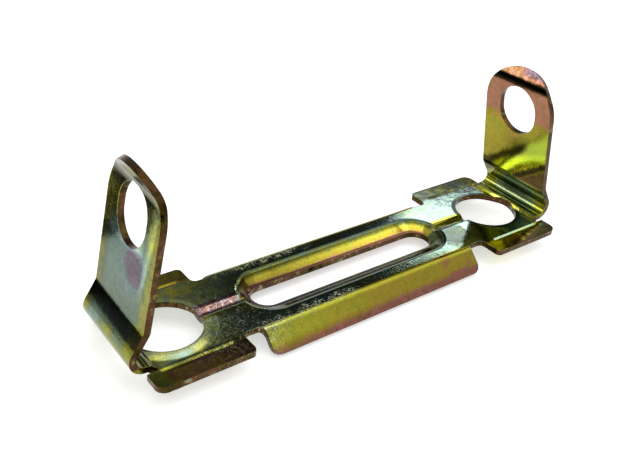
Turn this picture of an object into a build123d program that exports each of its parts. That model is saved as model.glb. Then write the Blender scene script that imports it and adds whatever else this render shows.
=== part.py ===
from build123d import *
import os
from math import atan2, cos, radians, sin, sqrt, tan

# Capacitor bracket: one blank of zinc plated sheet steel, pierced, pressed and folded.
# X runs along the bracket, Y across it, Z up. It stands on the lower edges of its two flanges.
# It is drawn with the top face of the base plate at Z = 0 and lifted onto the floor last.

# The sheet
sheet = 1.2                  # 18 gauge steel

# The base plate
base_length = 95.0           # from one plate end to the other
base_width = 27.4            # over the four wings
wing_corner = 1.8            # outer corners of the wings
wing_inner_corner = 1.0      # wing corners beside the notches

# The two side flanges, which splay outwards and carry the bracket
flange_length = 50.6
channel_width = 17.2         # flat between the starts of the two bends
flange_angle = 43.0          # degrees below the plate
flange_width = 4.8           # flat part of the flange, past its bend
flange_bend = 0.4            # inside radius of the bend
flange_corner = 1.9          # lower corners of the flange

# The four notches that part the flanges from the wings
notch_width = 4.1
notch_corner = 1.2

# The long slot, and the dish that is pressed down round it
slot_length = 43.6
slot_width = 6.3
dish_depth = 1.5
dish_land = 0.35             # flat left between the foot of the dish's wall and the slot
dish_side_run = 2.8          # width of the sloping wall beside the slot, seen from above
dish_end_run = 2.05          # the same at the two ends of the slot
dish_rim = 1.8               # radius where the plate turns down into the dish
dish_foot = 2.2              # radius where the wall levels out towards the slot

# The two round holes in the plate
base_hole = 13.4
base_hole_spacing = 79.2

# The creases pressed from each round hole to the dish
crease_width = 2.3
crease_depth = 0.85
crease_root = 0.8            # radius in the bottom
crease_lip = 0.8             # radius along both edges

# The fine line coined along each wing, which leaves the underside flat
wing_line_length = 14.1
wing_line_width = 1.1
wing_line_depth = 0.3
wing_line_root = 0.3
wing_line_lip = 0.2
wing_line_offset = 10.0      # from the bracket's centre line
wing_line_setback = 1.9      # from the tip of the line to the end of the plate

# The ears, each a strip that rises from one plate end. Bend radii are those of the middle line.
ear_width = 17.5
relief_width = 0.75          # slit beside the ear, where it leaves the plate
relief_depth = 2.1
relief_corner = 0.3          # radius in the corners of the slit
joggle = 0.9                 # step up from the plate to the crest
joggle_slope = 45.0          # degrees
joggle_root = 0.08           # flat between the end of the slit and the first bend
joggle_bend = 0.9
crest_bend = 0.7
crest_flat = 0.18            # flat on the crest, before the strip curls up and back
curl_bend = 2.2
lower_panel = 8.19           # from the corner of the curl to the knee
lower_lean = 33.0            # degrees in from upright
knee_bend = 2.0
upper_panel = 21.8           # from the knee to the lip's fold
upper_lean = 10.7
lip_height = 3.9             # from the fold to the tip, measured up the lip
lip_flare = 32.4             # degrees that the lip turns back out
lip_bend = 5.0

# The holes that hold the capacitor's ends
ear_hole = 9.5               # across the bracket
ear_hole_stretch = 1.2       # how much taller the hole is than it is wide
ear_hole_drop = 0.55         # from the centre of the ear's rounded top down to the hole's middle

half = sheet / 2
plate_end = base_length / 2
flange_end = flange_length / 2
notch_middle = flange_end + notch_width / 2
bend_start = channel_width / 2
relief_end = plate_end - relief_depth
dish_length = slot_length + 2 * (dish_land + dish_end_run)
dish_width = slot_width + 2 * (dish_land + dish_side_run)
wing_line_end = plate_end - wing_line_setback
wing_line_start = wing_line_end - wing_line_length
ear_top_rise = upper_panel + lip_height - ear_width / 2
ear_hole_rise = ear_top_rise - ear_hole_drop
blank_start = upper_panel / 4         # up the panel, where the plain strip meets the rounded blank
reach = base_length + base_width      # longer than anything a cutter has to pass


def heading(lean):
    """Unit vector up a panel that leans in by this many degrees."""
    return Vector(-sin(radians(lean)), 0, cos(radians(lean)))


def outward(lean):
    """Unit vector out of the same panel, away from the middle of the bracket."""
    return Vector(cos(radians(lean)), 0, sin(radians(lean)))


def panel_plane(foot, lean):
    """Plane in the middle of a panel: local x across the bracket, local y up the panel."""
    return Plane(origin=foot, x_dir=(0, 1, 0), z_dir=outward(lean))


def set_back(radius, turn):
    """How far before its corner a bend of this radius starts, for a turn in degrees."""
    return radius * tan(radians(turn) / 2)


def step_out(slope):
    """How much wider a pressed form is on the underside, so that its wall keeps the sheet's thickness."""
    return sheet * tan(slope / 2)


def four_ways(shape):
    """The same form in all four quarters of the plate."""
    right = [shape, mirror(shape, Plane.XZ)]
    return right + [mirror(one, Plane.YZ) for one in right]


def both_ends(shape):
    """The same form at both ends of the plate."""
    return [shape, mirror(shape, Plane.YZ)]


def flange_line():
    """Corner and lower end of a flange's middle line, as (Y, Z) points."""
    angle = radians(flange_angle)
    run = set_back(flange_bend + half, flange_angle) + flange_width
    corner = (bend_start + set_back(flange_bend + half, flange_angle), -half)
    return corner, (corner[0] + run * cos(angle), corner[1] - run * sin(angle))


def stand_height():
    """How far the lower edge of a flange lies below the top face of the plate."""
    lower_end = flange_line()[1]
    return half * cos(radians(flange_angle)) - lower_end[1]


def channel():
    """The middle of the plate with its two splayed flanges."""
    corner, end = flange_line()
    line = FilletPolyline((-end[0], end[1]), (-corner[0], corner[1]), corner, end, radius=flange_bend + half)
    return extrude(Plane.YZ * trace(line, sheet), notch_middle, both=True)


def end_plate():
    """The flat end of the plate, open where the ear and its two relief slits stand."""
    length = plate_end - notch_middle
    outline = Rectangle(length, base_width)
    outline = fillet(outline.vertices().group_by(Axis.X)[-1], wing_corner)
    gap = Rectangle(2 * relief_depth, ear_width + 2 * relief_width)
    gap = fillet(gap.vertices(), relief_corner)
    return extrude(Pos(notch_middle + length / 2, 0) * outline - Pos(plate_end, 0) * gap, -sheet)


def rim_edges(plate, half_x, half_y, centre):
    """Edges that lie in the plate's top face inside a box about a centre."""
    inside = 0.01
    found = []
    for edge in plate.edges():
        box = edge.bounding_box()
        flat = abs(box.min.Z) < inside and abs(box.max.Z) < inside
        near_x = abs(box.min.X - centre[0]) < half_x + inside and abs(box.max.X - centre[0]) < half_x + inside
        near_y = abs(box.min.Y - centre[1]) < half_y + inside and abs(box.max.Y - centre[1]) < half_y + inside
        if flat and near_x and near_y:
            found.append(edge)
    return found


def dish(grow, top, foot):
    """The dish as a sunken solid, from its rim at this height down to its floor."""
    land = 2 * dish_land
    rim = Pos(0, 0, top) * SlotOverall(dish_length + grow, dish_width + grow)
    floor = Pos(0, 0, top - dish_depth) * SlotOverall(slot_length + land + grow, slot_width + land + grow)
    sunk = loft([rim, floor], ruled=True)
    return fillet(sunk.faces().sort_by(Axis.Z)[0].edges(), foot)


def press_dish(plate):
    """Sink the dish into the plate, with a soft rim round it."""
    wall_angle = atan2(dish_depth, dish_side_run)
    plate = plate + dish(2 * step_out(wall_angle), -sheet, dish_foot + sheet) - dish(0, 0, dish_foot)
    return fillet(rim_edges(plate, dish_length / 2, dish_width / 2, (0, 0)), dish_rim)


def crease_groove():
    """Section that the crease takes out: a V whose two edges roll softly into the top face."""
    points = [(-crease_width, 0), (-crease_width / 2, 0), (0, -crease_depth), (crease_width / 2, 0), (crease_width, 0)]
    line = FilletPolyline(points, radius=[crease_lip, crease_root, crease_lip])
    cap = Polyline((crease_width, 0), (crease_width, sheet), (-crease_width, sheet), (-crease_width, 0))
    return make_face(line + cap)


def crease_ridge():
    """Section that the crease pushes out below, which keeps the sheet's thickness."""
    slope = atan2(crease_depth, crease_width / 2)
    side = crease_width / 2 + step_out(slope)
    bottom = -crease_depth - sheet / cos(slope)
    line = FilletPolyline((-side, -sheet), (0, bottom), (side, -sheet), radius=crease_root + sheet)
    return make_face(line + Line((side, -sheet), (-side, -sheet)))


def centre_crease(section):
    """The crease from the round hole to the dish, which runs out in both."""
    start = (slot_length + dish_length) / 4
    return extrude(Plane.YZ.offset(start) * section, base_hole_spacing / 2 - start)


def press_centre_creases(plate):
    """Press the creases that lead from the dish to the two round holes."""
    for ridge in both_ends(centre_crease(crease_ridge())):
        plate = plate + ridge
    for groove in both_ends(centre_crease(crease_groove())):
        plate = plate - groove
    return plate


def wing_line():
    """The sunken line along a wing, which runs out in a half round at both ends."""
    side = wing_line_width / 2
    start = wing_line_start + side
    end = wing_line_end - side
    line = FilletPolyline((-side, 0), (0, -wing_line_depth), (side, 0), radius=wing_line_root)
    section = make_face(line + Line((side, 0), (-side, 0)))
    body = extrude(Plane.YZ.offset(start) * section, end - start)
    bowl = revolve(Plane.XZ * (section & Pos(side, 0) * Rectangle(2 * side, reach)), Axis.Z)
    return Pos(0, wing_line_offset) * (body + Pos(start, 0) * bowl + Pos(end, 0) * bowl)


def coin_wing_lines(plate):
    """Coin one line along each wing and soften both its edges."""
    for line in four_ways(wing_line()):
        plate = plate - line
    middle = (wing_line_start + wing_line_end) / 2
    for x in (middle, -middle):
        for y in (wing_line_offset, -wing_line_offset):
            edges = rim_edges(plate, wing_line_length / 2, wing_line_width / 2, (x, y))
            plate = fillet(edges, wing_line_lip)
    return plate


def notch():
    """Cutter for one notch, rounded where it ends at the bend."""
    shape = Rectangle(notch_width, base_width)
    shape = fillet(shape.vertices(), notch_corner)
    return extrude(Pos(notch_middle, bend_start + base_width / 2) * shape, reach, both=True)


def nearest_edges(solid, x, y, z):
    """The four edges that pass through a point of one quarter and its three images."""
    return [solid.edges().sort_by_distance((i * x, j * y, z))[0] for i in (1, -1) for j in (1, -1)]


def cut_outline(plate):
    """Pierce the slot, cut the four notches and round the corners beside them."""
    plate = plate - extrude(SlotOverall(slot_length, slot_width), reach, both=True)
    for cutter in four_ways(notch()):
        plate = plate - cutter
    lower_end = flange_line()[1]
    plate = fillet(nearest_edges(plate, flange_end, lower_end[0], lower_end[1]), flange_corner)
    return fillet(nearest_edges(plate, flange_end + notch_width, base_width / 2, -half), wing_inner_corner)


def ear_corners():
    """Corners of the ear's middle line at the +X end: start, foot, crest, curl, knee and fold."""
    start = Vector(relief_end, 0, -half)
    foot = start + Vector(joggle_root + set_back(joggle_bend, joggle_slope), 0, 0)
    crest = foot + Vector(joggle / tan(radians(joggle_slope)), 0, joggle)
    crest_run = set_back(crest_bend, joggle_slope) + crest_flat + set_back(curl_bend, 90 + lower_lean)
    curl = crest + Vector(crest_run, 0, 0)
    knee = curl + heading(lower_lean) * lower_panel
    fold = knee + heading(upper_lean) * upper_panel
    return start, foot, crest, curl, knee, fold


def ear_strip(corners):
    """The plain strip: joggle, crest, curl, lower panel and the foot of the upper one."""
    knee = corners[4]
    strip_end = knee + heading(upper_lean) * blank_start
    points = [(p.X, p.Z) for p in (*corners[:5], strip_end)]
    line = FilletPolyline(points, radius=[joggle_bend, crest_bend, curl_bend, knee_bend])
    return extrude(Plane.XZ * trace(line, sheet), ear_width / 2, both=True)


def ear_panel(knee):
    """The flat upper panel, round at the top and cut off where the lip's bend starts."""
    panel_end = upper_panel - set_back(lip_bend, lip_flare)
    sides = Pos(0, (blank_start + ear_top_rise) / 2) * Rectangle(ear_width, ear_top_rise - blank_start)
    rounded_top = Pos(0, ear_top_rise) * Circle(ear_width / 2)
    below_bend = Pos(0, panel_end - reach / 2) * Rectangle(reach, reach)
    return extrude(panel_plane(knee, upper_lean) * ((sides + rounded_top) & below_bend), half, both=True)


def lip_turn(knee):
    """The lip's bend: part of a ring of sheet, trimmed to the rounded top."""
    drop = upper_panel - ear_top_rise
    run = set_back(lip_bend, lip_flare)
    across = (0, 1, 0)
    start = knee + heading(upper_lean) * (upper_panel - run)
    centre = start + outward(upper_lean) * lip_bend
    trims = []
    for turned, below in ((0, drop - run), (lip_flare / 2, drop), (lip_flare, drop + run)):
        lean = upper_lean - turned
        section = Plane(origin=centre - outward(lean) * lip_bend, x_dir=across, z_dir=heading(lean))
        width = 2 * sqrt((ear_width / 2) ** 2 - below**2)
        trims.append(section * Rectangle(width, 2 * sheet))
    first = Plane(origin=start, x_dir=across, z_dir=heading(upper_lean))
    ring = revolve(first * Rectangle(ear_width, sheet), Axis(centre, across), lip_flare)
    return ring & loft(trims)


def lip_tip(fold):
    """The flat tip of the lip, the last of the rounded top."""
    past_bend = Pos(0, set_back(lip_bend, lip_flare) + reach / 2) * Rectangle(reach, reach)
    rounded_top = Pos(0, ear_top_rise - upper_panel) * Circle(ear_width / 2)
    return extrude(panel_plane(fold, upper_lean - lip_flare) * (rounded_top & past_bend), half, both=True)


def ear():
    """One ear, drawn at the +X end: strip, holed panel and flared lip."""
    corners = ear_corners()
    knee, fold = corners[4:]
    whole = ear_strip(corners) + ear_panel(knee) + lip_turn(knee) + lip_tip(fold)
    hole = SlotCenterToCenter(ear_hole_stretch, ear_hole, rotation=90)
    cutter = extrude(panel_plane(knee, upper_lean) * Pos(0, ear_hole_rise) * hole, 2 * sheet, both=True)
    return whole - cutter


plate = channel()
for end in both_ends(end_plate()):
    plate = plate + end
plate = press_dish(plate)
plate = press_centre_creases(plate)
plate = coin_wing_lines(plate)
plate = cut_outline(plate)

bracket = plate
for one in both_ends(ear()):
    bracket = bracket + one
hole_reach = crease_depth + 2 * sheet
for hole in both_ends(Pos(base_hole_spacing / 2, 0) * extrude(Circle(base_hole / 2), hole_reach, both=True)):
    bracket = bracket - hole

os.makedirs("parts", exist_ok=True)
bracket = Pos(0, 0, stand_height()) * bracket
export_step(bracket, "parts/capacitor_bracket.step")
print("bracket:", len(bracket.solids()), "solid,", round(bracket.volume, 1), "cubic mm,", bracket.bounding_box())
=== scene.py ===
# %% [markdown]
# A capacitor bracket, dressed for its photograph.
#
# The real thing is a single sheet of steel, pierced, pressed and folded, then plated with zinc and
# dipped in a yellow passivating bath. Its bends and holes could be modelled again here as a mesh, but
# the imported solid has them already, at their true sizes. So the solid is loaded as a fixed frame, and
# this script makes only the camera, the light and the plating.

# %% Load the frame
import bpy
from math import cos, radians, sin, tan
from mathutils import Matrix, Vector

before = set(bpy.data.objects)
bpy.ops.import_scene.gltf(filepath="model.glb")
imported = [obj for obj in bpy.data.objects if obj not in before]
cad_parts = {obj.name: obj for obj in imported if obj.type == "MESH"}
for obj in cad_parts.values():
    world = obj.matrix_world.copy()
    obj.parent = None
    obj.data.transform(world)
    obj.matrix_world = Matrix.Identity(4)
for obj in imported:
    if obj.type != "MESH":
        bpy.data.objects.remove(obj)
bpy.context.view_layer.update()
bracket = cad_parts["capacitor_bracket"]
print("loaded", bracket.name, len(bracket.data.polygons), "faces")

# %% [markdown]
# The camera stands where the photographer's stood. Its place, aim and focal length were found by
# fitting a pinhole camera to the bracket's own edges, so they are real distances from the part. A
# camera placed by eye would show the right thing at the wrong slant.

# %% Camera
CAMERA_PLACE = Vector((-0.08837, -0.09843, 0.09230))
CAMERA_RIGHT = Vector((0.79597, -0.60009, 0.07948))
CAMERA_DOWN = Vector((-0.26198, -0.45987, -0.84846))
FOCAL_PIXELS = 808.05
PICTURE = (640, 460)
OPTICAL_CENTRE = (324.64, 229.03)
SENSOR_WIDTH = 36
NEAREST_SEEN = 0.005


def make_camera():
    """A camera from a place, two axes and a focal length in pixels."""
    data = bpy.data.cameras.new("camera")
    data.sensor_width = SENSOR_WIDTH
    data.lens = FOCAL_PIXELS / PICTURE[0] * SENSOR_WIDTH
    data.shift_x = (PICTURE[0] / 2 - OPTICAL_CENTRE[0]) / PICTURE[0]
    data.shift_y = (OPTICAL_CENTRE[1] - PICTURE[1] / 2) / PICTURE[0]
    data.clip_start = NEAREST_SEEN
    camera = bpy.data.objects.new("camera", data)
    bpy.context.scene.collection.objects.link(camera)
    right = CAMERA_RIGHT.normalized()
    up = -CAMERA_DOWN.normalized()
    back = right.cross(up)
    turned = Matrix((right, up, back)).transposed().to_4x4()
    camera.matrix_world = Matrix.Translation(CAMERA_PLACE) @ turned
    bpy.context.scene.camera = camera
    return camera


camera = make_camera()
print("camera at", [round(v, 4) for v in camera.location], "lens", round(camera.data.lens, 2))

# %% [markdown]
# Shader nodes are easier to read as sums than as a web of boxes. A Wire is one output socket, and
# arithmetic on it adds the Math node that does the sum. A Bench is the node tree that they stand on,
# with one method that puts any other node there.


# %% Wires and benches
class Wire:
    """One output socket. Arithmetic on it adds Math nodes to its bench."""

    def __init__(self, bench, socket):
        self.bench = bench
        self.socket = socket

    def sum(self, operation, *terms):
        return self.bench.node("ShaderNodeMath", {"operation": operation}, dict(enumerate(terms)))

    def __add__(self, other):
        return self.sum("ADD", self, other)

    def __radd__(self, other):
        return self.sum("ADD", other, self)

    def __sub__(self, other):
        return self.sum("SUBTRACT", self, other)

    def __rsub__(self, other):
        return self.sum("SUBTRACT", other, self)

    def __mul__(self, other):
        return self.sum("MULTIPLY", self, other)

    def __rmul__(self, other):
        return self.sum("MULTIPLY", other, self)

    def __abs__(self):
        return self.sum("ABSOLUTE", self)

    def power(self, exponent):
        return self.sum("POWER", self, exponent)

    def least(self, other):
        return self.sum("MINIMUM", self, other)

    def most(self, other):
        return self.sum("MAXIMUM", self, other)

    def rise(self, start, end):
        """0 at start, 1 at end, and a smooth step between them. Start may lie above end."""
        settings = {"interpolation_type": "SMOOTHSTEP"}
        return self.bench.node("ShaderNodeMapRange", settings, {0: self, 1: start, 2: end, 3: 0.0, 4: 1.0})

    def between(self, low, high, soft):
        """1 from low to high, with an edge this soft on both sides."""
        return self.rise(low - soft, low + soft) * self.rise(high + soft, high - soft)

    def towards(self, value, share):
        """This number, moved towards another one by a share from 0 to 1."""
        return self + (value - self) * share

    def layered(self, *layers):
        """This number with each value of the (value, mask) pairs laid over it in turn."""
        number = self
        for value, mask in layers:
            number = number.towards(value, mask)
        return number

    def scaled(self, *layers):
        """This number multiplied by each factor of the (factor, mask) pairs where its mask is 1."""
        number = self
        for factor, mask in layers:
            number = number.towards(number * factor, mask)
        return number


class Bench:
    """A node tree, and the one way in which nodes are put on it."""

    def __init__(self, tree):
        self.tree = tree

    def node(self, kind, settings=None, inputs=None, output=0):
        made = self.tree.nodes.new(kind)
        for name, value in (settings or {}).items():
            if name == "stops":
                self.set_stops(made.color_ramp, value)
            else:
                setattr(made, name, value)
        for key, value in (inputs or {}).items():
            if isinstance(value, Wire):
                self.tree.links.new(value.socket, made.inputs[key])
            else:
                made.inputs[key].default_value = value
        return Wire(self, made.outputs[output]) if made.outputs else None

    def set_stops(self, ramp, stops):
        """Give a colour ramp its stops, as (place, colour) pairs."""
        while len(ramp.elements) < len(stops):
            ramp.elements.new(1.0)
        for element, (place, colour) in zip(ramp.elements, stops):
            element.position = place
            element.color = (*colour, 1.0)

    def blend(self, share, first, second, kind="MIX"):
        """Two colours blended by a share from 0 to 1."""
        settings = {"data_type": "RGBA", "blend_type": kind, "clamp_factor": True}
        colours = [c if isinstance(c, Wire) else (*c, 1.0) for c in (first, second)]
        return self.node("ShaderNodeMix", settings, {0: share, 6: colours[0], 7: colours[1]}, 2)

    def grey(self, number):
        """A number as a grey colour, for blending with colours."""
        return self.node("ShaderNodeCombineXYZ", {}, {0: number, 1: number, 2: number})

    def parts(self, vector):
        """The three parts of a vector, as three wires."""
        return [self.node("ShaderNodeSeparateXYZ", {}, {0: vector}, part) for part in range(3)]


def fresh_material(name):
    """An empty material and its bench."""
    material = bpy.data.materials.new(name)
    material.use_nodes = True
    material.node_tree.nodes.clear()
    return material, Bench(material.node_tree)


print("wires and benches ready")

# %% [markdown]
# Polished metal has hardly any look of its own: it shows the room. So the lamps are placed by what
# the bracket mirrors towards the camera. Each direction is an azimuth from +Y towards +X and an
# elevation, in degrees, seen from the bracket, and each lamp fills the angles that it is given.

# %% Softboxes
LAMP_DISTANCE = 1.2
LAMP_TARGET = (0, 0, 0.01)
# Watts per square metre that make a rectangular lamp look as bright as 1.
WATTS_FOR_WHITE = 4


def direction(azimuth, elevation):
    """Unit vector from the bracket towards a place in the room, from two angles in degrees."""
    across, up = radians(azimuth), radians(elevation)
    return Vector((sin(across) * cos(up), cos(across) * cos(up), sin(up)))


def softbox(name, azimuth, elevation, wide, tall, brightness):
    """A rectangular lamp that faces the bracket. Wide and tall are the angles that it fills."""
    data = bpy.data.lights.new(name, "AREA")
    data.shape = "RECTANGLE"
    data.size = 2 * LAMP_DISTANCE * tan(radians(wide / 2))
    data.size_y = 2 * LAMP_DISTANCE * tan(radians(tall / 2))
    data.energy = WATTS_FOR_WHITE * brightness * data.size * data.size_y
    lamp = bpy.data.objects.new(name, data)
    bpy.context.scene.collection.objects.link(lamp)
    lamp.location = direction(azimuth, elevation) * LAMP_DISTANCE
    towards_target = Vector(LAMP_TARGET) - lamp.location
    lamp.rotation_euler = towards_target.to_track_quat("-Z", "Y").to_euler()


SOFTBOXES = [
    # Name, azimuth, elevation, width, height, brightness.
    ("plate_softbox", 50.2, 30.0, 6.6, 3.8, 4.0),  # bright patches at the plate's right end
    ("near_wing_softbox", 64, 37, 9, 10, 1.2),  # near right wing
    ("side_softbox", 120, 50, 46, 38, 1.05),  # near flange
    ("top_softbox", 150, 86, 42, 42, 0.9),  # soft fill from above
    ("lip_softbox", -54, 25, 12, 18, 1.2),  # lip of the right ear
    ("twice_mirrored_softbox", -46, 41, 11, 9, 6.0),  # right ear, by way of the plate
    ("front_softbox", 215, 42, 50, 30, 0.7),  # edges and bends that face the camera
]
for row in SOFTBOXES:
    softbox(*row)
print(len(SOFTBOXES), "softboxes")

# %% [markdown]
# The room itself is pale at the horizon, as a paper sweep is, and grey above. One part of it is
# dark, so that the flat plate goes dark too and the pressed edges stand out bright against it.

# %% Room
HORIZON_BRIGHTNESS = 0.85
WALL_BRIGHTNESS = 0.3
CEILING_BRIGHTNESS = 0.6
GAP_BRIGHTNESS = 0.035
GAP_MIDDLE = direction(42, 35)
GAP_OUTSIDE = cos(radians(14))
GAP_INSIDE = cos(radians(7))

world = bpy.data.worlds.new("room")
bpy.context.scene.world = world
world.use_nodes = True
world.node_tree.nodes.clear()
room = Bench(world.node_tree)
towards_room = room.node("ShaderNodeTexCoord", output=0)
height = room.parts(towards_room)[2]
into_gap = room.node(
    "ShaderNodeVectorMath",
    {"operation": "DOT_PRODUCT"},
    {0: towards_room, 1: GAP_MIDDLE},
    1,
)
walls = WALL_BRIGHTNESS + (CEILING_BRIGHTNESS - WALL_BRIGHTNESS) * height.rise(0.3, 0.95)
brightness = walls.layered(
    (GAP_BRIGHTNESS, into_gap.rise(GAP_OUTSIDE, GAP_INSIDE)),
    (HORIZON_BRIGHTNESS, height.rise(0.42, 0.2)),
)
backdrop = room.node("ShaderNodeBackground", {}, {0: (1.0, 1.0, 1.0, 1.0), 1: brightness})
room.node("ShaderNodeOutputWorld", {}, {0: backdrop})
print("room with its dark gap towards", [round(v, 2) for v in GAP_MIDDLE])

# %% [markdown]
# The floor is white paper. It glows a little for the eye and for reflections, as paper does when it
# is lit to white, and takes the bracket's soft shadow like any matt surface.

# %% Floor
FLOOR_SIZE = 6
PAPER = (0.82, 0.82, 0.82, 1.0)
PAPER_GLOW = 0.5

bpy.ops.mesh.primitive_plane_add(size=FLOOR_SIZE, location=(0, 0, 0))
floor = bpy.context.object
floor.name = "floor"
paper, sheet = fresh_material("white_paper")
matt = sheet.node("ShaderNodeBsdfDiffuse", {}, {0: PAPER})
seen = sheet.node("ShaderNodeLightPath", output="Is Camera Ray")
mirrored = sheet.node("ShaderNodeLightPath", output="Is Glossy Ray")
through = sheet.node("ShaderNodeLightPath", output="Is Transmission Ray")
glowing = PAPER_GLOW * seen.most(mirrored).most(through)
glow = sheet.node("ShaderNodeEmission", {}, {0: (1.0, 1.0, 1.0, 1.0), 1: glowing})
lit_paper = sheet.node("ShaderNodeAddShader", {}, {0: matt, 1: glow})
sheet.node("ShaderNodeOutputMaterial", {}, {0: lit_paper})
floor.data.materials.append(paper)
print("floor", FLOOR_SIZE, "m wide")

# %% [markdown]
# The black bands on the ears are reflections: each is something dark in the studio, seen in the metal.
# Photographers put such bands there with black cards, and so does this scene. The cards stand outside
# the picture, throw no shadow, and show only as reflections. The plating's tone further down deepens
# the same bands with painted shade.

# %% Black cards
FELT = (0.02, 0.02, 0.015, 1.0)


def black_card(name, near_foot, far_foot, bottom, top):
    """A dull black card that stands upright beside the picture and is seen only in reflections."""
    corners = [(*near_foot, bottom), (*far_foot, bottom), (*far_foot, top), (*near_foot, top)]
    mesh = bpy.data.meshes.new(name)
    mesh.from_pydata(corners, [], [range(len(corners))])
    card = bpy.data.objects.new(name, mesh)
    bpy.context.scene.collection.objects.link(card)
    felt, table = fresh_material(name + "_felt")
    dull = table.node("ShaderNodeBsdfDiffuse", {}, {0: FELT})
    table.node("ShaderNodeOutputMaterial", {}, {0: dull})
    mesh.materials.append(felt)
    card.visible_camera = False
    card.visible_shadow = False


BLACK_CARDS = [
    # Name, near foot, far foot, height of the bottom and the top edge, in metres.
    ("left_ear_card", (-0.0640, 0.0466), (-0.0880, 0.0541), 0.0, 0.060),
    ("left_band_card", (-0.0880, 0.0541), (-0.1200, 0.0642), 0.0108, 0.060),
    ("right_lip_card", (-0.1130, 0.2090), (-0.1990, 0.1010), 0.0200, 0.086),
]
for row in BLACK_CARDS:
    black_card(*row)
print(len(BLACK_CARDS), "black cards")

# %% [markdown]
# The plating: zinc passivated yellow carries a film about as thick as a wave of light, so its colour
# is an interference colour. As the film thickens it runs through straw, gold, copper, rose, mauve,
# sea blue, green and olive. One number, the film, stands for that thickness, and one ramp turns it
# into colour. Wherever the film changes, the colours then pass in the same order as on the real part,
# which patches of separately mixed colours would not do.

# %% The film's colours
STRAW = 0.00
GOLD = 0.12
COPPER = 0.24
ROSE = 0.34
MAUVE = 0.43
SLATE = 0.51
SEA_BLUE = 0.59
GREEN = 0.69
OLIVE = 0.80
BRONZE = 0.90
RUSSET = 1.00
FILM_COLOURS = [
    (STRAW, (0.46, 0.43, 0.27)),
    (GOLD, (0.44, 0.32, 0.07)),
    (COPPER, (0.36, 0.19, 0.08)),
    (ROSE, (0.25, 0.11, 0.08)),
    (MAUVE, (0.20, 0.145, 0.19)),
    (SLATE, (0.21, 0.24, 0.25)),
    (SEA_BLUE, (0.225, 0.345, 0.295)),
    (GREEN, (0.17, 0.23, 0.12)),
    (OLIVE, (0.28, 0.28, 0.025)),
    (BRONZE, (0.24, 0.175, 0.022)),
    (RUSSET, (0.20, 0.085, 0.06)),
]
# Colour of a painted reflection: the lime patch that the right ear mirrors.
REFLECTED_LIME = (0.29, 0.265, 0.007)
# Pale zinc, for the scratches and for the bend line that is partly wear and partly a painted highlight.
ZINC_WEAR_AND_SHEEN = (0.42, 0.43, 0.36)
print("film ramp of", len(FILM_COLOURS), "colours")

# %% [markdown]
# The shade of a spot depends on where it is on the part, so everything below is worked out from the
# part's own coordinates in millimetres: x along it, y across it, and z up from the flanges' feet.
# A texture image could carry the same shades, but it would need the folded sheet to be unwrapped.

# %% Places on the part
MILLIMETRES = 1000.0

plating, bench = fresh_material("yellow_zinc")
place = bench.node("ShaderNodeTexCoord", output="Object")
in_mm = bench.node("ShaderNodeVectorMath", {"operation": "SCALE"}, {0: place, "Scale": MILLIMETRES})
x, y, z = bench.parts(in_mm)
facing_x, facing_y, facing_z = bench.parts(bench.node("ShaderNodeNewGeometry", output="True Normal"))


def cloud(size, detail=2.0, stretch=(1.0, 1.0, 1.0), shift=(0.0, 0.0, 0.0), turn=0.0, roughness=0.5):
    """Soft noise about 0, from -1 to 1, with lumps of this size in millimetres."""
    scale = [1 / (size * longer) for longer in stretch]
    about_z = {"rotation_type": "Z_AXIS"}
    turned = bench.node("ShaderNodeVectorRotate", about_z, {0: in_mm, "Angle": radians(turn)})
    stretched = bench.node("ShaderNodeMapping", {}, {"Vector": turned, "Location": shift, "Scale": scale})
    settings = {"Vector": stretched, "Scale": 1.0, "Detail": detail, "Roughness": roughness}
    noise = bench.node("ShaderNodeTexNoise", {}, settings)
    return noise * 2.0 - 1.0


def spot(at_x, at_y, at_z, reach):
    """A round soft patch about a place on the part: 1 in the middle, 0 at its reach."""
    distance = {"operation": "DISTANCE"}
    away = bench.node("ShaderNodeVectorMath", distance, {0: in_mm, 1: (at_x, at_y, at_z)}, 1)
    return away.rise(reach, 0.0)


large = cloud(16.0)
medium = cloud(5.0, shift=(7.0, 3.0, 1.0))
small = cloud(1.3, shift=(2.0, 9.0, 4.0), detail=3.0)
grain = cloud(0.34, shift=(5.0, 1.0, 8.0), detail=2.0, roughness=0.7)
print("places in millimetres, and four sizes of noise")

# %% [markdown]
# Where the film is thick or thin depends on how the part hung in the bath and drained: the ears, the
# wings, the flanges and the dish each have their own shade. Each region is a soft mask, 1 inside and
# 0 outside, made from the place and from the way that the face looks. The sheared edges, where the
# punch tore through the sheet, are a region too, because they take the bath differently.

# %% Regions
PLATE_TOP = 4.58
PLATE_END = 47.5
FLANGE_END = 25.3
FLANGE_BEND = 8.6
DISH_SIDE = 6.3
DISH_END = 24.2
WING_SIDE = 9.8
WING_START = 29.2
HOLE_AT = 39.6

beside = abs(y)
along = abs(x)
left = x.rise(0.5, -0.5)
right = 1.0 - left
near = y.rise(0.5, -0.5)
far = 1.0 - near
raised = z.rise(5.0, 6.0)
flat = 1.0 - raised
left_ear = raised * left
right_ear = raised * right
left_face = facing_x.rise(0.1, -0.1)
lip = z.rise(33.6, 34.4)

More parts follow.
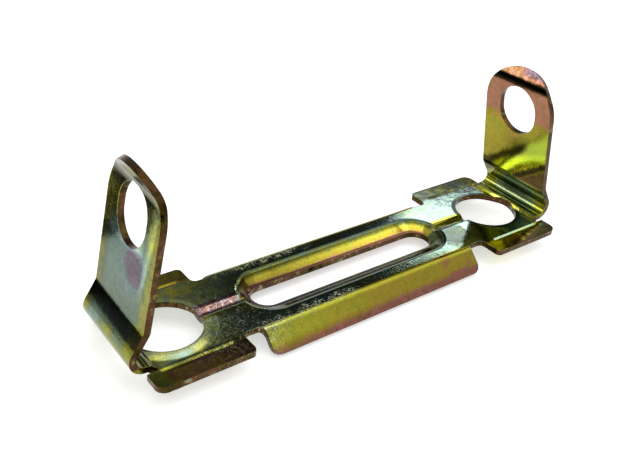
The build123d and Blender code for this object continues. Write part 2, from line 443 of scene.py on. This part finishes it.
low = z.rise(PLATE_TOP - 0.1, PLATE_TOP - 0.6)
flange = beside.rise(FLANGE_BEND + 0.15, FLANGE_BEND + 0.6) * low
flange = flange * along.rise(FLANGE_END + 0.5, FLANGE_END - 0.1)
bend = beside.rise(FLANGE_BEND - 0.4, FLANGE_BEND + 0.2)
bend = bend * low.most(along.rise(FLANGE_END + 0.1, FLANGE_END - 0.3))
dish = beside.rise(DISH_SIDE + 0.4, DISH_SIDE - 0.4) * along.rise(DISH_END + 0.4, DISH_END - 0.3)
dish = dish * z.rise(PLATE_TOP - 0.02, PLATE_TOP - 0.3)
wing = beside.rise(WING_SIDE - 0.6, WING_SIDE + 0.6)
wing = wing * along.rise(WING_START - 0.4, WING_START + 0.4) * flat
right_wing = wing * right
crease = beside.rise(2.4, 1.8) * along.between(24.5, 33.6, 0.4) * flat
wing_line = beside.between(8.9, 10.8, 0.15) * along.between(30.6, 46.4, 0.3)
ear_root = along.rise(44.4, 45.2) * flat

edge_of_ear = abs(facing_y).rise(0.3, 0.5) * raised
edge_of_plate = abs(facing_z).rise(0.45, 0.25) * flat * along.rise(PLATE_END + 0.4, PLATE_END - 0.1)
edge_of_flange = low * beside.rise(9.0, 9.6) * facing_z.rise(-0.3, -0.5) * abs(facing_y).rise(0.68, 0.71)
edge_on_top = z.rise(12.0, 14.0) * abs(facing_z).rise(0.6, 0.8)
cut_face = edge_of_ear.most(edge_of_plate).most(edge_of_flange).most(edge_on_top)
print("regions: plate, flanges, dish, wings, creases, ear roots, two ears and the cut faces")

# %% [markdown]
# The flat part of the bracket is dark green, a little bluer towards the right. The flanges run from
# olive to russet down their height, as the bath drains to their edges. The dish's far wall is olive
# with a russet foot, and the left crease, which the press stretched, is rose. Each region's film is
# worked out by itself and then laid over the plate's, so that one can be changed without the others.

# %% Film on the plate
film = GREEN - 0.035 - 0.0018 * x + 0.05 * large + 0.12 * medium + 0.12 * small

down_flange = z.rise(2.6, 0.9)
rosy_end = x.rise(2.0, 22.0) * (medium + small).rise(-0.1, 0.5)
flange_film = OLIVE + 0.08 * x.rise(-24.0, 4.0) + 0.19 * down_flange + 0.07 * rosy_end
flange_film = flange_film + 0.05 * medium + 0.05 * small

down_dish = z.rise(PLATE_TOP - 0.1, PLATE_TOP - 1.5)
foot_of_dish = z.rise(PLATE_TOP - 1.2, PLATE_TOP - 1.5)
far_wall_film = OLIVE - 0.03 + 0.12 * down_dish + 0.12 * foot_of_dish + 0.10 * spot(-22, 2, 4, 6.0)
far_wall_film = far_wall_film + 0.05 * medium + 0.12 * small + 0.08 * grain
dish_film = far_wall_film.towards(GREEN + 0.03 + 0.1 * small, near)

# The outer tip of the near right wing: a film nearer bronze, and painted shade in the tone below.
wing_tip_film_and_shade = (beside + 0.25 * x + 2.5 * small).rise(20.2, 22.6) * near
wing_film = (OLIVE - 0.01 - 0.09 * far + 0.12 * wing_tip_film_and_shade).towards(BRONZE - 0.01 + 0.05 * near, left)
wing_film = wing_film + 0.10 * medium + 0.10 * small

left_crease_film = (ROSE + 0.02 + 0.10 * small).towards(OLIVE + 0.01, y.rise(-0.9, -1.5))
crease_film = left_crease_film.towards(OLIVE - 0.22 * near + 0.08 * small, right)

hole_x = along - HOLE_AT
from_hole = (hole_x * hole_x + y * y).power(0.5)
# The strip beside the left hole: a film of its own, and a painted highlight in the tone below.
bright_strip = from_hole.between(7.2, 9.0, 0.5) * y.rise(-5.0, -7.0) * x.between(-47.0, -35.5, 1.2) * left
strip_film = OLIVE - 0.01 + 0.10 * small - 0.16 * spot(-40.5, -8.0, PLATE_TOP, 4.0)

film = film.layered(
    (flange_film, flange.most(0.8 * bend)),
    (dish_film, dish),
    (wing_film, wing),
    (crease_film, crease),
    (OLIVE - 0.02 + 0.08 * medium + 0.10 * small, ear_root),
    (strip_film, bright_strip),
)
print("film laid over the plate")

# %% [markdown]
# The left ear is sea blue in the middle and olive towards its margins, where the film is thicker, with
# one mauve patch where it is thinner. The right ear is olive below a tide mark and russet above it,
# with a copper lip. A wandering edge comes from adding noise to the place before the mask is made.

# %% Film on the ears
margin = (beside + 1.6 * medium + 0.8 * small).rise(5.0, 8.8)
mauve_patch = (spot(-45.8, -2.7, 20.2, 5.0) + 0.5 * small + 0.2 * medium).rise(0.1, 0.6)
curl_patches = (0.3 - 0.05 * y + 1.2 * medium + 0.4 * margin).rise(0.0, 0.8)
left_film = SEA_BLUE + 0.01 + 0.06 * large + 0.19 * margin + 0.05 * z.rise(17.0, 12.0)
left_film = (left_film - 0.16 * mauve_patch).layered(
    (OLIVE + 0.06 * medium, 0.85 * (z + 2.0 * medium).rise(22.5, 28.5)),
    (OLIVE - 0.03 + 0.06 * medium, curl_patches * z.rise(9.8, 9.0)),
)
left_film = left_film + 0.03 * medium + 0.02 * small

fuzz = 0.6 * small + 0.8 * grain
near_half = y.rise(3.0, 0.5)
right_curl = z.rise(12.0, 11.0)
tide = (z + 0.1 * y + 1.6 * medium + 0.8 * small).rise(23.4, 27.4)
below_patch = z - 11.7 + 0.74 * y + fuzz
right_film = OLIVE + 0.04 + 0.04 * medium + 0.06 * small + 0.07 * spot(44.3, 0.5, 20.8, 4.5)
right_film = right_film.layered(
    (OLIVE + 0.065 + 0.05 * small, z.rise(20.0, 17.0)),
    (BRONZE + 0.04, below_patch.rise(0.0, -2.0) * near_half),
    (RUSSET - 0.015, tide),
    (COPPER + 0.03 + 0.10 * small, lip),
    (MAUVE - 0.01, z.rise(34.9, 36.3) * y.rise(2.0, -1.0)),
    (GREEN + 0.01 + 0.11 * (beside + small).rise(4.0, 7.8), right_curl),
)

# Painted glints on the sheared faces: here they turn the film rose, and below they brighten the tone.
glint = (small + 0.6 * medium + 0.5 * grain).rise(0.25, 0.7)
cut_film = (RUSSET - 0.04 + 0.12 * medium + 0.1 * small).towards(ROSE + 0.04, glint)
film = film.layered((left_film, left_ear), (right_film, right_ear), (cut_film, cut_face))
film = film + 0.07 * grain
colour = bench.node("ShaderNodeValToRGB", {"stops": FILM_COLOURS}, {0: film})
print("film laid over the ears and the cut faces")

# %% [markdown]
# The same shade can be bright or dull. The tone is a second number that multiplies the colour, and
# most of it is painted light. Painted shade darkens the left wings, the right wing's tip and far part,
# the flanges, the near ear roots, the left crease and the dish's near wall, and painted highlights
# brighten the near right wing, the strip drawn down beside the left hole and the dish's far wall. These
# stand in for reflections of the studio that a few lamps and cards can't give, such as the dark
# shoulder beside the dish.

# %% Tone of the plate, with its painted light
# Painted shade: the dark shoulder beside the right end of the dish, a reflection the lamps don't give.
dish_shoulder = (spot(25.0, -3.5, PLATE_TOP, 7.0) + 0.5 * small).rise(0.2, 0.5) * (1.0 - dish)
# Painted reflection on the dish's far wall: dark at its top, brighter down the wall and towards the right.
far_wall_reflection_tone = (1.7 + 0.07 * x).most(0.7).least(2.5) * (0.135 + 0.7 * down_dish.rise(0.0, 0.55))
far_wall_reflection_tone = far_wall_reflection_tone * (1.0 + 0.4 * grain)
# Painted shade on the line of the left near wing, except by the ear, and on the left wing's near corner.
shaded_wing_line = wing_line * left * near * (1.0 - spot(-45.5, -9.6, PLATE_TOP, 4.0))
shaded_wing_corner = wing * spot(-47.4, -12.5, PLATE_TOP, 7.0)

tone = 1.0 + 0.40 * small + 0.65 * grain + 0.20 * medium
# Each factor below is painted light where its mask is 1: under 1 painted shade, over 1 a painted
# highlight.
tone = tone.scaled(
    (0.6 - 0.5 * small, wing * left),
    (0.25, right_wing * wing_tip_film_and_shade),
    (0.6, flange),
    (0.65, ear_root * near),
    (0.65, crease * left),
    (0.35 + 0.4 * small, right_wing * far),
    (2.8, right_wing * near * (1.0 - wing_tip_film_and_shade)),
    (0.3, dish_shoulder),
    (far_wall_reflection_tone, dish),
    (0.32, dish * near),
    (0.3, shaded_wing_line),
    (3.0, bright_strip),
    (0.5, shaded_wing_corner),
)
print("tone of the plate")

# %% [markdown]
# The ears mirror the studio more than any other part. Both are seen from the left, so the left one
# shows its outer face and the right one its inner face. On the left a black band runs along the foot
# of the lower panel. On the right two dark reflected streaks frame a bright lime reflection, and a
# black band lies under the lip. The cards alone leave them too pale and too even, so they are painted
# here, as painted shade and painted highlights in the tone, on the faces that look left, by soft masks
# of z and y with a little fuzz. The rest of each ear's tone is painted light too: the left ear dimmed,
# with a brighter upper part and a dark top, and the right ear's copper lip given a bright sheen.

# %% Tone of the ears, with painted reflections
# Painted shade: the black band along the foot of the left ear's lower panel, deepening the card's
# reflection.
black_band = (z - 0.03 * y + 0.4 * small).between(9.5, 11.8, 0.25) * left_face
# The left ear's tone is painted light: dimmed overall, a painted highlight on its upper part, and painted
# shade at the top, along the lip and below.
left_tone = 0.54 + 0.25 * margin * near + 1.7 * z.rise(22.0, 24.0) * y.rise(-6.0, -2.0)
left_tone = left_tone.layered(
    (0.24, z.rise(30.5, 32.5)),
    (0.18, lip * y.rise(-2.0, 1.0)),
    (0.85, z.rise(9.6, 8.8)),
    (0.10, black_band),
)

# Painted shade and highlight on the right ear's inner face: two dark reflected streaks, a darker lower
# corner, and a bright lime reflection between them.
dark_reflected_streak = (z - 12.0 + 0.75 * (y - 8.0) + fuzz).between(-1.2, 0.9, 0.8) * y.rise(-4.5, -2.0) * left_face
low_reflected_streak = below_patch.between(-1.4, 0.3, 0.5) * near_half * left_face
lower_corner = below_patch.rise(-1.0, -2.0) * near_half * left_face
lime_reflection = (z + 0.35 * y).between(12.2, 16.5, 1.8) * y.rise(6.5, 3.5) * left_face
lime_reflection = lime_reflection * (1.0 - dark_reflected_streak.most(low_reflected_streak).most(lower_corner))
# Painted shade: the black band under the right ear's lip, deepening the card's reflection.
band_under_lip = (z + 0.3 * small + 0.03 * y).between(33.2, 34.9, 0.3) * left_face
# Painted shade in the hollow of the right ear's curl.
dark_basin = beside.rise(6.0, 2.0) * z.between(6.5, 10.5, 1.0)
# The right ear's painted light: the lime reflection brightened, a painted sheen with glints on the copper
# lip, painted shade in the streaks, under the lip, in the curl and over the white patch the knee reflects.
right_tone = 1.0 + 0.35 * tide + 1.3 * lime_reflection
right_tone = right_tone.layered(
    (0.16, dark_reflected_streak),
    (0.18, low_reflected_streak),
    (0.45, lower_corner),
    (1.4 + 1.5 * small + 0.8 * grain, lip),
    (0.08, band_under_lip),
    (0.9 - 0.6 * dark_basin, right_curl),
    (0.2, spot(46.5, 8.5, 11.0, 3.6).rise(0.1, 0.5)),
)

tone = tone.scaled((left_tone, left_ear), (right_tone, right_ear))
# The sheared faces take a low tone of their own, brightened by the painted glints.
tone = tone.towards(0.33 + 0.5 * small + 0.4 * medium + 0.4 * glint, cut_face)
print("tone of the ears")

# %% [markdown]
# Handling leaves its own marks on top: the near bend's left half carries a pale line, partly rubbed to
# bare matt zinc and partly a painted highlight, and fine hairlines cross the left end of the plate. A
# hairline is noise stretched until it is a streak, and three sets of them at different angles look like
# marks from many small knocks.

# %% Wear, and the bend's painted highlight
# Partly rubbed zinc and partly a painted highlight: a pale, brighter, rougher line along the bends' left
# half.
pale_bend_line = (beside + small).between(7.5, 9.0, 0.5) * x.between(-25.0, -4.0, 3.0) * z.rise(3.2, 4.0)
bend_wear_and_sheen = pale_bend_line * (0.6 * small + grain).rise(-0.3, 0.5)


def hairlines(turn, shift):
    """Thin straight scratches that run one way over a flat face, from 0 to 1."""
    lines = cloud(0.13, detail=1.0, stretch=(1.0, 16.0, 6.0), shift=shift, turn=turn)
    return lines.rise(0.15, 0.5)


scratches = hairlines(20, (3, 1, 0)).most(hairlines(-35, (9, 4, 0))).most(hairlines(70, (1, 8, 0)))
scratched_end = spot(-31, -5, PLATE_TOP, 15.0).rise(0.0, 0.6) * flat
scratched = scratches * scratched_end
tone = tone + 1.4 * bend_wear_and_sheen + 0.9 * scratched
print("wear: one worn line and three sets of hairlines")

# %% [markdown]
# The surface itself is not dead flat. Rolled sheet has a fine tooth, stamping leaves it faintly wavy,
# the punch draws the metal down round each hole, and the near right wing is bent down by a hair.
# These are heights in millimetres, turned into a bump, as they are too shallow to change the outline.
# The sharp sheared corners are rounded by a bevel that only bends the light.

# %% Surface
WAVES = 0.016
LUMPS = 0.005
TOOTH = 0.0022
ROUNDED_CORNER = 0.00018
ONE_MILLIMETRE = 0.001

drawn_rim = -0.10 * from_hole.rise(7.7, 6.5) * flat
drawn_strip = -0.65 * from_hole.rise(9.4, 6.6) * flat * left * y.rise(-1.0, -5.0)
sunk_wing = -0.17 * (beside - 10.0).most(0.0) * right_wing * near
height_field = WAVES * cloud(9.0, shift=(4.0, 4.0, 4.0)) + LUMPS * small + TOOTH * grain
height_field = height_field + drawn_rim + drawn_strip + sunk_wing
rounded = bench.node("ShaderNodeBevel", {"samples": 6}, {"Radius": ROUNDED_CORNER})
bump_inputs = {"Strength": 1.0, "Distance": ONE_MILLIMETRE, "Height": height_field, "Normal": rounded}
bumped = bench.node("ShaderNodeBump", {}, bump_inputs)
print("surface: waves, tooth and drawn rims")

# %% [markdown]
# All of it meets in one metal: the film's colour, dimmed or brightened by the tone and its painted
# light, with the painted lime reflection and the pale zinc of the scratches and the bend line blended
# in, and a gloss that is duller where the metal is rubbed or sheared.

# %% The plating's material
# A painted reflection: the lime patch on the right ear takes its reflected colour.
tinted = bench.blend(lime_reflection * right_ear, colour, REFLECTED_LIME)
tinted = bench.blend(0.75 * bend_wear_and_sheen.most(0.8 * scratched), tinted, ZINC_WEAR_AND_SHEEN)
base_colour = bench.blend(1.0, tinted, bench.grey(tone), "MULTIPLY")
roughness = 0.10 + 0.04 * grain + 0.03 * small + 0.04 * raised
roughness = roughness + 0.25 * bend_wear_and_sheen + 0.12 * scratched + 0.15 * cut_face
shader = bench.node(
    "ShaderNodeBsdfPrincipled",
    {},
    {"Base Color": base_colour, "Metallic": 1.0, "Roughness": roughness, "Normal": bumped},
)
bench.node("ShaderNodeOutputMaterial", {}, {0: shader})
for slot in bracket.material_slots:
    slot.material = plating
print("plated", len(bracket.material_slots), "slots with", len(plating.node_tree.nodes), "nodes")

# %% [markdown]
# Last, the plain view settings. Plating adds no size, so the dressed part keeps the loaded frame's box.

# %% View settings
bpy.context.scene.view_settings.view_transform = "Standard"
